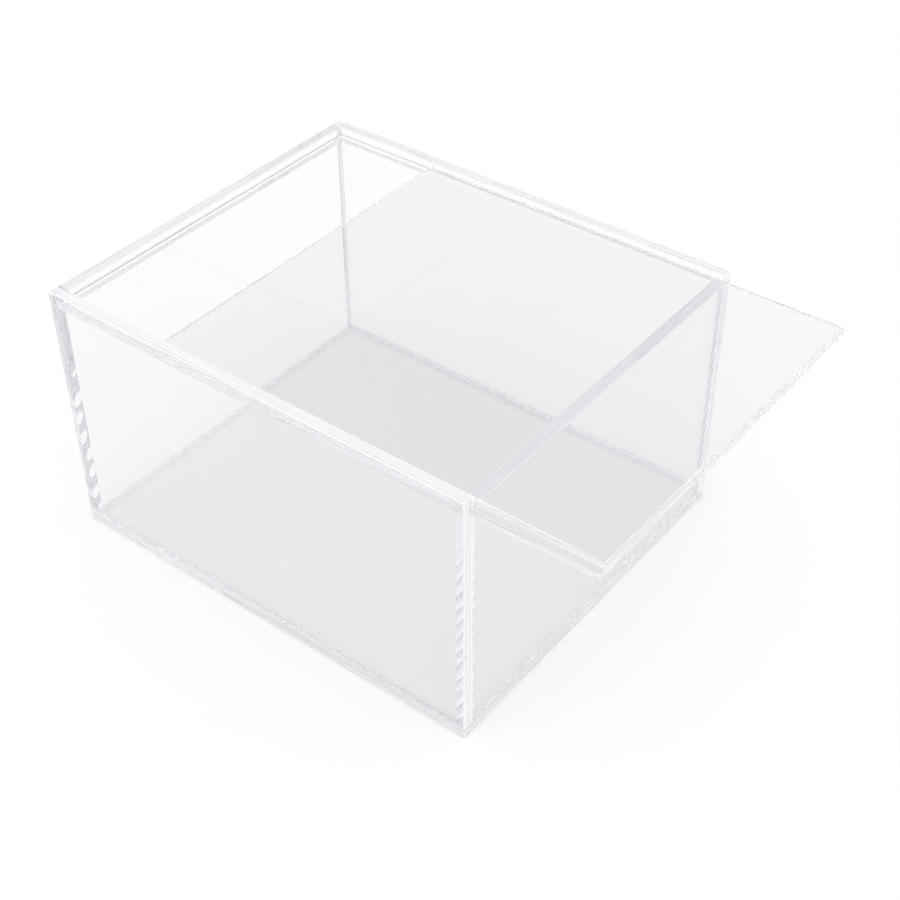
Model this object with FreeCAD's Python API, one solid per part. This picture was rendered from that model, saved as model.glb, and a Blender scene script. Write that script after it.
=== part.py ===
# Clear acrylic display case with a sliding lid. Four walls stand on a base panel, all bonded
# edge to face with thin adhesive films, and a rebated lid runs in grooves milled near the tops
# of the front, back and left walls. The right wall is lower, so that the lid slides out over it.
# Millimetres. The origin is the middle of the underside, +X is the way the lid slides out,
# +Y is towards the back wall and +Z is up. The lid is drawn part open.
import FreeCAD, Part
import os

# Case, over the outer faces of the walls
case_length = 150.0
case_width = 128.0
case_height = 87.5

# Sheet that each kind of panel is cut from
wall_sheet = 4.0
base_sheet = 4.0
lid_sheet = 4.0

# Adhesive that cures between two panels, and the sharp arris taken off each open edge
bond_film = 0.2
edge_break = 0.3

# Lid: its upper face lies below the wall tops, and a tongue runs round three of its sides
lid_recess = 1.0
tongue_height = 2.0
tongue_depth = 2.0

# Running room for the lid: above and below the tongue, at its sides, at its tail when it is
# closed, and over the low wall
groove_play = 0.2
side_play = 0.3
tail_play = 0.3
low_wall_play = 0.3

# How far the lid is drawn out of the case as modelled
lid_drawn_out = 38.0

# Reach of a cut past the face that it opens, and how near two places count as the same
overrun = 5.0
same_place = 0.001

# Faces of the case
left = -case_length / 2
right = case_length / 2
front = -case_width / 2
back = case_width / 2
inner_left = left + wall_sheet
inner_right = right - wall_sheet
inner_front = front + wall_sheet
inner_back = back - wall_sheet
wall_foot = base_sheet + bond_film

# Levels of the lid and of the groove that it runs in
lid_top = case_height - lid_recess
lid_underside = lid_top - lid_sheet
tongue_top = lid_underside + tongue_height
groove_low = lid_underside - groove_play
groove_high = tongue_top + groove_play
low_wall_top = lid_underside - low_wall_play

# Edges of the lid's upper part, and of the tongue that stands out below it
lid_tail = inner_left + tail_play + lid_drawn_out
lid_nose = right + lid_drawn_out
lid_front = inner_front + side_play
lid_back = inner_back - side_play
tongue_tail = lid_tail - tongue_depth
tongue_front = lid_front - tongue_depth
tongue_back = lid_back + tongue_depth


def block(low, high):
    """A rectangular solid between two opposite corners."""
    length, width, height = [end - start for start, end in zip(low, high)]
    return Part.makeBox(length, width, height, FreeCAD.Vector(*low))


def same(first, second):
    """True where two coordinates mark the same place."""
    return abs(first - second) < same_place


def break_edges(shape, is_open):
    """Take the sharp arris off every edge whose middle passes the test."""
    edges = [edge for edge in shape.Edges if is_open(edge.CenterOfMass)]
    return shape.makeChamfer(edge_break, edges)


def lid_slot():
    """The space that the tongue runs in, blind at the left wall and open at the right."""
    low = (inner_left - tongue_depth, inner_front - tongue_depth, groove_low)
    high = (right + overrun, inner_back + tongue_depth, groove_high)
    return block(low, high)


def base_panel():
    """The panel under the walls, flush with their outer faces."""
    panel = block((left, front, 0), (right, back, base_sheet))
    return break_edges(panel, lambda middle: not same(middle.z, base_sheet))


def long_wall(outer, inner):
    """A full-length wall that covers the ends of the end walls, grooved for the lid."""
    low = (left, min(outer, inner), wall_foot)
    high = (right, max(outer, inner), case_height)

    def is_open(middle):
        at_end = same(middle.x, left) or same(middle.x, right)
        return same(middle.z, case_height) or (same(middle.y, outer) and at_end)

    return break_edges(block(low, high), is_open).cut(lid_slot())


def end_wall(low_x, high_x, top):
    """A wall between the two long ones, with the long edges of its top broken."""
    low = (low_x, inner_front + bond_film, wall_foot)
    high = (high_x, inner_back - bond_film, top)
    return break_edges(block(low, high), lambda middle: same(middle.z, top) and same(middle.y, 0))


def sliding_lid():
    """The lid: a plate with a rebate milled round its top on three sides, leaving the tongue."""
    plate = block((tongue_tail, tongue_front, lid_underside), (lid_nose, tongue_back, lid_top))
    around = block((tongue_tail - overrun, tongue_front - overrun, tongue_top),
                   (lid_nose + overrun, tongue_back + overrun, lid_top + overrun))
    upper = block((lid_tail, lid_front, tongue_top), (lid_nose + overrun, lid_back, lid_top + overrun))

    def is_open(middle):
        nose_underside = same(middle.x, lid_nose) and same(middle.z, lid_underside)
        return same(middle.z, lid_top) or nose_underside

    return break_edges(plate.cut(around.cut(upper)), is_open)


def corner_bond(low_x, high_x, low_y, top):
    """The adhesive between an end wall's upright edge and the face of a long wall."""
    film = block((low_x, low_y, wall_foot), (high_x, low_y + bond_film, top))
    return film.cut(lid_slot())


def foot_bond(low_x, high_x, low_y, high_y):
    """The adhesive between a wall's lower edge and the base panel."""
    return block((low_x, low_y, base_sheet), (high_x, high_y, wall_foot))


nodes = {
    "base_panel": base_panel(),
    "front_wall": long_wall(front, inner_front),
    "back_wall": long_wall(back, inner_back),
    "left_end_wall": end_wall(left, inner_left, case_height).cut(lid_slot()),
    "right_end_wall": end_wall(inner_right, right, low_wall_top),
    "sliding_lid": sliding_lid(),
    "front_left_bond": corner_bond(left, inner_left, inner_front, case_height),
    "back_left_bond": corner_bond(left, inner_left, inner_back - bond_film, case_height),
    "front_right_bond": corner_bond(inner_right, right, inner_front, low_wall_top),
    "back_right_bond": corner_bond(inner_right, right, inner_back - bond_film, low_wall_top),
    "front_foot_bond": foot_bond(left, right, front, inner_front),
    "back_foot_bond": foot_bond(left, right, inner_back, back),
    "left_foot_bond": foot_bond(left, inner_left, inner_front, inner_back),
    "right_foot_bond": foot_bond(inner_right, right, inner_front, inner_back),
}

os.makedirs("parts", exist_ok=True)
for name, shape in nodes.items():
    shape.exportStep(f"parts/{name}.step")
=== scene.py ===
# A clear acrylic display case with a sliding lid, dressed in cast acrylic and cured adhesive.
# Metres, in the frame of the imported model: +X the way the lid slides out, +Y to the back, +Z up.
import math

import bpy
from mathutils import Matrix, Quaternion, Vector


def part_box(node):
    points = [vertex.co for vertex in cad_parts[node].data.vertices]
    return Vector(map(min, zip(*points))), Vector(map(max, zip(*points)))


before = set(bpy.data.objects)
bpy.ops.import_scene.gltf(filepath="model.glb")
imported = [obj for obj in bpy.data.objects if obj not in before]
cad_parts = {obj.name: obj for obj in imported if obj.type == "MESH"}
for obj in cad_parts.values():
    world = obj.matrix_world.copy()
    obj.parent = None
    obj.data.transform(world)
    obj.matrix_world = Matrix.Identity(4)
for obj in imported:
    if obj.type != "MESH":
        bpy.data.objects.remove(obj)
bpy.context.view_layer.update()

MM = 0.001

# Camera: where it stands, a point on its line of sight, its roll, and the lens for a 36 mm sensor
camera_place = Vector((251.2, -295.7, 348.1)) * MM
camera_aim = Vector((27.5, -8.6, 43.75)) * MM
camera_roll = math.radians(-0.34)
camera_lens_mm = 64.43
sensor_mm = 36.0

# Floor: its width, and how far it lies under the base so that the two don't share a plane
floor_width = 12.0
floor_gap = 0.2 * MM

# Studio: the lamp above and its tilt, the way to the unlit side of the white cove, and how far from
# there the cove starts to pale and is white
lamp_strength = 0.55
lamp_spread = math.radians(50)
lamp_tilt = (math.radians(12), math.radians(10), 0)
unlit_side = Vector((-0.495, 0.603, 0.622))
unlit_reach = math.radians(22)
white_from = math.radians(50)

# How often light may turn inside the sheets before it is given up
light_bounces = 96

# Acrylic: the width and depth of its casting swell, the width and length of the scraper's lines along
# an edge, and the patches of haze
swell_size = 40 * MM
swell_height = 0.5 * MM
line_width = 0.7 * MM
line_length = 30 * MM
rub_size = 9 * MM

# Acrylic: how squarely a surface has to point along the sheet's thickness to be a face or an edge, and
# how near to half way an arris lies
face_from = 0.9
edge_to = 0.6
arris_facing = math.sqrt(0.5)
arris_reach = 0.15

# Acrylic: its index, the relief of the lines and of the whole, the roughness of rubbed faces and of
# edges, the white share of arrises, edges and the ends of the long walls, and what a pane lets by.
# The white shares are partly the scraper's cloudiness and partly painted light: a painted highlight
# on the arrises and painted light along the edges, most on the long walls.
acrylic_index = 1.49
line_relief = 0.015
relief_strength = 0.03
rub_from = 0.56
rub_full = 0.8
rub_haze = 0.04
edge_haze = 0.1
scraped_roughness = 0.5
arris_white_and_painted_highlight = 0.4
edge_white_and_painted_light = 0.8
long_wall_white_and_painted_light = 1.25
pane_lets_by = 0.956
greyness = 0.6

# Joints, read from the model: the insides of the walls, the top of the low wall, the level and the
# plane that the cement lies in, and how near to its middle the faces lie that it touches
low_wall_low, low_wall_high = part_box("right_end_wall")
end_wall_inside = low_wall_low.x
long_wall_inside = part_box("back_wall")[0].y
low_wall_top = low_wall_high.z
foot_low, foot_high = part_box("back_foot_bond")
foot_level = (foot_low.z + foot_high.z) / 2
corner_low, corner_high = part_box("back_right_bond")
corner_plane = (corner_low.y + corner_high.y) / 2
corner_middle = (corner_low.x + corner_high.x) / 2
touching = 0.6 * (foot_high.z - foot_low.z)

# Adhesive: the roughness of its dry parts
dry_roughness = 0.45

# Adhesive in the upright corners on the left: the height and width of the cell of one dry patch, its
# lean, how far the patches stray from a row, the levels at which they start and are full, their reach
# and soft border as shares of a cell, and the haze between them
patch_pitch = 7.5 * MM
patch_width = 8.5 * MM
patch_lean = 1.4
patch_scatter = 0.35
patch_start = 66 * MM
patch_full = 52 * MM
patch_reach = 0.34
patch_border = 0.08
patch_haze = 0.2

# Adhesive in the upright corners on the right: the height and lean of one stroke, its waviness, the
# levels at which the strokes start and are full, the part of a stroke over which it fades and the
# shares that it fades between, the part where the white line starts and is full, and the share of
# white above the strokes. The strokes and their white lines are partly dry cement and partly a
# painted reflection of a saw-tooth pattern along the corner.
stroke_pitch = 5.4 * MM
stroke_lean = 1.7
stroke_waver = 12 * MM
stroke_start = 72 * MM
stroke_full = 58 * MM
fade_start = 0.05
fade_end = 0.7
fade_from = 0.75
fade_to = 0.25
white_line_start = 0.8
white_line_full = 0.86
above_strokes = 0.7

# Adhesive under the walls: the size and twist of its mottling, the noise that is wetted and dry, and
# the white share of each; the white on the wetted parts is painted light that lifts the shade seen
# through the cement
mottle_size = 2.6 * MM
mottle_twist = 0.6
mottle_wet = 0.45
mottle_dry = 0.65
painted_light_on_wet = 0.5
dry_share = 0.9


def linear(hex_colour):
    """An sRGB colour written as #RRGGBB, as linear red, green, blue and an alpha of one."""
    shares = [int(hex_colour[i:i + 2], 16) / 255 for i in (1, 3, 5)]
    return [s / 12.92 if s <= 0.04045 else ((s + 0.055) / 1.055) ** 2.4 for s in shares] + [1.0]


def add_node(tree, kind, inputs=None, **settings):
    """Add a node, set its properties, and give each named input a value, a socket or a node."""
    node = tree.nodes.new(kind)
    for name, value in settings.items():
        setattr(node, name, value)
    for name, source in (inputs or {}).items():
        if isinstance(source, bpy.types.Node):
            source = source.outputs[0]
        if isinstance(source, bpy.types.NodeSocket):
            tree.links.new(source, node.inputs[name])
        else:
            node.inputs[name].default_value = source
    return node


def empty_tree(owner):
    """The node tree of a material or world, with nothing in it."""
    owner.use_nodes = True
    owner.node_tree.nodes.clear()
    return owner.node_tree


def joined_faces(tree, place):
    """One on the faces that cement joins to the next panel, and nought on the open ones."""
    x, y, z = add_node(tree, "ShaderNodeSeparateXYZ", {"Vector": place}).outputs
    out_x = add_node(tree, "ShaderNodeMath", {0: x}, operation="ABSOLUTE")
    out_y = add_node(tree, "ShaderNodeMath", {0: y}, operation="ABSOLUTE")
    in_end = add_node(tree, "ShaderNodeMath", {0: out_x, 1: end_wall_inside}, operation="GREATER_THAN")
    in_side = add_node(tree, "ShaderNodeMath", {0: out_y, 1: long_wall_inside}, operation="GREATER_THAN")

    # Under the four walls
    foot = add_node(tree, "ShaderNodeMath", {0: z, 1: foot_level, 2: touching}, operation="COMPARE")
    under = add_node(tree, "ShaderNodeMath", {0: in_end, 1: in_side}, operation="MAXIMUM")
    foot = add_node(tree, "ShaderNodeMath", {0: foot, 1: under}, operation="MULTIPLY")

    # In the upright corners, which end under the lid on the right
    corner = add_node(tree, "ShaderNodeMath", {0: out_y, 1: corner_plane, 2: touching}, operation="COMPARE")
    corner = add_node(tree, "ShaderNodeMath", {0: corner, 1: in_end}, operation="MULTIPLY")
    on_left = add_node(tree, "ShaderNodeMath", {0: x, 1: 0.0}, operation="LESS_THAN")
    below_lid = add_node(tree, "ShaderNodeMath", {0: z, 1: low_wall_top}, operation="LESS_THAN")
    reached = add_node(tree, "ShaderNodeMath", {0: on_left, 1: below_lid}, operation="MAXIMUM")
    corner = add_node(tree, "ShaderNodeMath", {0: corner, 1: reached}, operation="MULTIPLY")
    return add_node(tree, "ShaderNodeMath", {0: foot, 1: corner}, operation="MAXIMUM")


def cast_acrylic(name, sheet_axis, white_and_painted_light_share):
    """Cast acrylic sheet, polished: clear as water through its faces, with a cool grey that only
    shows where the eye looks along the sheet, and the faint swell of a casting. Its sawn edges and
    milled grooves are smoothed with a scraper but not polished, which leaves them a little cloudy.
    Their white is partly that cloudiness and partly painted light: a painted highlight on the
    arrises and painted light along the edges, standing in for light piped through the sheet."""
    material = bpy.data.materials.new(name)
    tree = empty_tree(material)
    coordinates = add_node(tree, "ShaderNodeTexCoord").outputs
    place = coordinates["Object"]

    # Faces, edges and scraped arrises, told apart by the way that they point
    normal = add_node(tree, "ShaderNodeSeparateXYZ", {"Vector": coordinates["Normal"]}).outputs[sheet_axis]
    facing = add_node(tree, "ShaderNodeMath", {0: normal}, operation="ABSOLUTE")
    edge = add_node(tree, "ShaderNodeMapRange", {
        "Value": facing, "From Min": face_from, "From Max": edge_to})
    arris = add_node(tree, "ShaderNodeMath", {0: facing, 1: arris_facing, 2: arris_reach},
                     operation="COMPARE")

    # The swell of the cast faces, and the scraper's lines, drawn coarser than they are so that they show
    swell = add_node(tree, "ShaderNodeTexNoise", {"Vector": place, "Scale": 1 / swell_size, "Detail": 1.0})
    fineness = [1 / (line_width if axis == sheet_axis else line_length) for axis in "XYZ"]
    along = add_node(tree, "ShaderNodeMapping", {"Vector": place, "Scale": fineness})
    lines = add_node(tree, "ShaderNodeTexNoise", {"Vector": along, "Scale": 1.0, "Detail": 2.0})
    cut = add_node(tree, "ShaderNodeMath", {0: edge, 1: lines}, operation="MULTIPLY")
    relief = add_node(tree, "ShaderNodeMath", {0: cut, 1: line_relief, 2: swell}, operation="MULTIPLY_ADD")
    bump = add_node(tree, "ShaderNodeBump", {
        "Height": relief, "Strength": relief_strength, "Distance": swell_height})

    # Handling leaves a faint haze in patches, and an edge is hazier than a face
    rubs = add_node(tree, "ShaderNodeTexNoise", {"Vector": place, "Scale": 1 / rub_size, "Detail": 6.0})
    haze = add_node(tree, "ShaderNodeMapRange", {
        "Value": rubs, "From Min": rub_from, "From Max": rub_full, "To Min": 0.0, "To Max": rub_haze})
    haze = add_node(tree, "ShaderNodeMath", {0: cut, 1: edge_haze, 2: haze}, operation="MULTIPLY_ADD")
    sheet = add_node(tree, "ShaderNodeBsdfPrincipled", {
        "Base Color": linear("#FCFCFD"), "IOR": acrylic_index, "Transmission Weight": 1.0,
        "Roughness": haze, "Normal": bump})

    # The scraper leaves an edge cloudy and an arris nearly white; this white is partly the scraper's and
    # partly painted light, a painted highlight on the arrises and painted light along the edges
    scraped_white_and_painted_light = add_node(tree, "ShaderNodeBsdfPrincipled", {
        "Base Color": linear("#F6F7F9"), "Roughness": scraped_roughness, "IOR": acrylic_index})
    white_share_with_painted_light = add_node(tree, "ShaderNodeMath", {0: cut, 1: white_and_painted_light_share}, operation="MULTIPLY")
    white_share_with_painted_light = add_node(tree, "ShaderNodeMath", {0: arris, 1: arris_white_and_painted_highlight, 2: white_share_with_painted_light},
                     operation="MULTIPLY_ADD", use_clamp=True)
    skin = add_node(tree, "ShaderNodeMixShader", {0: white_share_with_painted_light, 1: sheet, 2: scraped_white_and_painted_light})

    # Light from lamps and floor passes as through a thin pane, and all light passes a joint unbent
    path = add_node(tree, "ShaderNodeLightPath").outputs
    joined = joined_faces(tree, place)
    lit = add_node(tree, "ShaderNodeMath", {0: path["Is Shadow Ray"], 1: path["Is Diffuse Ray"]},
                   operation="MAXIMUM")
    unbent = add_node(tree, "ShaderNodeMath", {0: lit, 1: joined}, operation="MAXIMUM")
    let_by = add_node(tree, "ShaderNodeMapRange", {"Value": joined, "To Min": pane_lets_by, "To Max": 1.0})
    clear = add_node(tree, "ShaderNodeBsdfTransparent", {"Color": let_by})
    surface = add_node(tree, "ShaderNodeMixShader", {0: unbent, 1: skin, 2: clear})
    depth = add_node(tree, "ShaderNodeVolumeAbsorption", {
        "Color": linear("#D4D6DB"), "Density": greyness})
    add_node(tree, "ShaderNodeOutputMaterial", {"Surface": surface, "Volume": depth})
    return material


def finish_adhesive(material, tree, dry, tint):
    """Cured solvent cement: clear where it has wetted both faces, and frosted white where it has
    not reached the sawn edge."""
    wet = add_node(tree, "ShaderNodeBsdfTransparent", {"Color": linear(tint)})
    frost = add_node(tree, "ShaderNodeBsdfPrincipled", {
        "Base Color": linear("#F8F9FB"), "Roughness": dry_roughness, "IOR": acrylic_index})
    surface = add_node(tree, "ShaderNodeMixShader", {0: dry, 1: wet, 2: frost})
    add_node(tree, "ShaderNodeOutputMaterial", {"Surface": surface})
    return material


def patched_adhesive(name):
    """The cement in an upright corner on the left: a row of leaning dry patches, one above the other,
    that start part of the way down."""
    material = bpy.data.materials.new(name)
    tree = empty_tree(material)
    place = add_node(tree, "ShaderNodeTexCoord").outputs["Object"]
    x, y, z = add_node(tree, "ShaderNodeSeparateXYZ", {"Vector": place}).outputs

    # Leaning cells in a single column, each with a point near its middle
    first_cell = corner_middle - patch_scatter / 2 * patch_width
    out = add_node(tree, "ShaderNodeMath", {0: x}, operation="ABSOLUTE")
    across = add_node(tree, "ShaderNodeMapRange", {
        "Value": out, "From Min": first_cell, "From Max": first_cell + patch_width}, clamp=False)
    leaning = add_node(tree, "ShaderNodeMath", {0: x, 1: -patch_lean, 2: z}, operation="MULTIPLY_ADD")
    along = add_node(tree, "ShaderNodeMath", {0: leaning, 1: patch_pitch}, operation="DIVIDE")
    grid = add_node(tree, "ShaderNodeCombineXYZ", {"X": across, "Y": along})
    patches = add_node(tree, "ShaderNodeTexVoronoi", {
        "Vector": grid, "Scale": 1.0, "Randomness": patch_scatter}, voronoi_dimensions="2D")

    # A patch is dry within its reach of the point, and the rest has a light haze
    reach = add_node(tree, "ShaderNodeMapRange", {
        "Value": z, "From Min": patch_full, "From Max": patch_start, "To Min": patch_reach, "To Max": 0.0})
    inside = add_node(tree, "ShaderNodeMath", {0: reach, 1: patches}, operation="SUBTRACT")
    dry = add_node(tree, "ShaderNodeMapRange", {
        "Value": inside, "From Min": 0.0, "From Max": patch_border, "To Min": patch_haze, "To Max": 1.0})
    return finish_adhesive(material, tree, dry, "#F2F2F4")


def hatched_adhesive(name):
    """The cement in an upright corner on the right: pale, and hatched part of the way down by strokes
    that each start clear under a white line and pale towards the next. The strokes and lines are
    partly dry cement and partly a painted reflection."""
    material = bpy.data.materials.new(name)
    tree = empty_tree(material)
    place = add_node(tree, "ShaderNodeTexCoord").outputs["Object"]
    x, y, z = add_node(tree, "ShaderNodeSeparateXYZ", {"Vector": place}).outputs
    leaning = add_node(tree, "ShaderNodeMath", {0: x, 1: -stroke_lean, 2: z}, operation="MULTIPLY_ADD")
    along = add_node(tree, "ShaderNodeMath", {0: leaning, 1: stroke_pitch}, operation="DIVIDE")
    waver = add_node(tree, "ShaderNodeTexNoise", {"Vector": place, "Scale": 1 / stroke_waver})
    along = add_node(tree, "ShaderNodeMath", {0: waver, 1: along}, operation="ADD")
    rise = add_node(tree, "ShaderNodeMath", {0: along}, operation="FRACT")
    fading = add_node(tree, "ShaderNodeMapRange", {
        "Value": rise, "From Min": fade_start, "From Max": fade_end,
        "To Min": fade_from, "To Max": fade_to})
    white_line_and_painted_reflection = add_node(tree, "ShaderNodeMapRange", {
        "Value": rise, "From Min": white_line_start, "From Max": white_line_full})
    # The strokes and their white lines are partly dry cement and partly a painted reflection of a saw-tooth
    # pattern along the corner
    strokes_and_painted_reflection = add_node(tree, "ShaderNodeMath", {0: fading, 1: white_line_and_painted_reflection}, operation="MAXIMUM")
    shown = add_node(tree, "ShaderNodeMapRange", {
        "Value": z, "From Min": stroke_full, "From Max": stroke_start, "To Min": 1.0, "To Max": 0.0})
    dry = add_node(tree, "ShaderNodeMix", {"Factor": shown, "A": above_strokes, "B": strokes_and_painted_reflection})
    return finish_adhesive(material, tree, dry, "#F6F6F8")


def foot_adhesive(name):
    """The cement under a wall: mottled, with many small dry specks. Even where wetted it is half white,
    painted light over the shade seen through it.
    """
    material = bpy.data.materials.new(name)
    tree = empty_tree(material)
    place = add_node(tree, "ShaderNodeTexCoord").outputs["Object"]
    mottle = add_node(tree, "ShaderNodeTexNoise", {
        "Vector": place, "Scale": 1 / mottle_size, "Detail": 3.0, "Distortion": mottle_twist})
    # Even the wetted cement is half white: painted light over the shade seen through it
    dry = add_node(tree, "ShaderNodeMapRange", {
        "Value": mottle, "From Min": mottle_wet, "From Max": mottle_dry,
        "To Min": painted_light_on_wet, "To Max": dry_share})
    return finish_adhesive(material, tree, dry, "#FCFCFD")


def white_paper(name):
    """Matt white background paper, that keeps a soft shadow."""
    material = bpy.data.materials.new(name)
    tree = empty_tree(material)
    paper = add_node(tree, "ShaderNodeBsdfPrincipled", {
        "Base Color": linear("#FBFBFB"), "Roughness": 1.0, "Specular IOR Level": 0.0})
    add_node(tree, "ShaderNodeOutputMaterial", {"Surface": paper})
    return material


def lay_floor():
    """The paper that the case stands on."""
    bpy.ops.mesh.primitive_plane_add(size=floor_width, location=(0, 0, -floor_gap))
    floor = bpy.context.object
    floor.name = "floor"
    floor.data.materials.append(white_paper("white_paper"))


def light_studio():
    """A white cove with one unlit side, which the lid mirrors, and an even soft light from above."""
    world = bpy.data.worlds.new("studio")
    bpy.context.scene.world = world
    tree = empty_tree(world)
    way = add_node(tree, "ShaderNodeTexCoord").outputs["Generated"]
    near = add_node(tree, "ShaderNodeVectorMath", {0: way, 1: unlit_side}, operation="DOT_PRODUCT")
    cove = add_node(tree, "ShaderNodeValToRGB", {"Fac": near.outputs["Value"]})
    white, grey = cove.color_ramp.elements
    white.position, white.color = math.cos(white_from), linear("#FFFFFF")
    grey.position, grey.color = math.cos(unlit_reach), linear("#C6C6C9")
    walls = add_node(tree, "ShaderNodeBackground", {"Color": cove, "Strength": 1.0})
    add_node(tree, "ShaderNodeOutputWorld", {"Surface": walls})

    light = bpy.data.lights.new("even_top_light", "SUN")
    light.energy = lamp_strength
    light.angle = lamp_spread
    lamp = bpy.data.objects.new("even_top_light", light)
    lamp.rotation_euler = lamp_tilt
    lamp.visible_glossy = lamp.visible_transmission = lamp.visible_camera = False
    bpy.context.collection.objects.link(lamp)


def set_camera():
    """The camera at the photograph's viewing angle."""
    lens = bpy.data.cameras.new("camera")
    lens.sensor_width = sensor_mm
    lens.lens = camera_lens_mm
    camera = bpy.data.objects.new("camera", lens)
    camera.location = camera_place
    camera.rotation_mode = "QUATERNION"
    level = (camera_aim - camera_place).to_track_quat("-Z", "Y")
    camera.rotation_quaternion = level @ Quaternion((0, 0, 1), camera_roll)
    bpy.context.collection.objects.link(camera)
    bpy.context.scene.camera = camera


def dress(names, material):
    """Give each named node of the model one material."""
    for name in names:
        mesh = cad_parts[name].data
        mesh.materials.clear()
        mesh.materials.append(material)


set_camera()
lay_floor()
light_studio()

dress(["base_panel"], cast_acrylic("cast_acrylic_base", "Z", edge_white_and_painted_light))
dress(["front_wall", "back_wall"],
      cast_acrylic("cast_acrylic_long_walls", "Y", long_wall_white_and_painted_light))
dress(["left_end_wall", "right_end_wall"],
      cast_acrylic("cast_acrylic_end_walls", "X", edge_white_and_painted_light))
dress(["sliding_lid"], cast_acrylic("cast_acrylic_lid", "Z", edge_white_and_painted_light))
dress(["front_left_bond", "back_left_bond"], patched_adhesive("cured_adhesive_left"))
dress(["front_right_bond", "back_right_bond"], hatched_adhesive("cured_adhesive_right"))
dress([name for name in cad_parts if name.endswith("foot_bond")],
      foot_adhesive("cured_adhesive_feet"))

scene = bpy.context.scene
scene.view_settings.view_transform = "Standard"
scene.cycles.max_bounces = light_bounces
scene.cycles.transmission_bounces = light_bounces
scene.cycles.glossy_bounces = light_bounces
scene.cycles.transparent_max_bounces = light_bounces
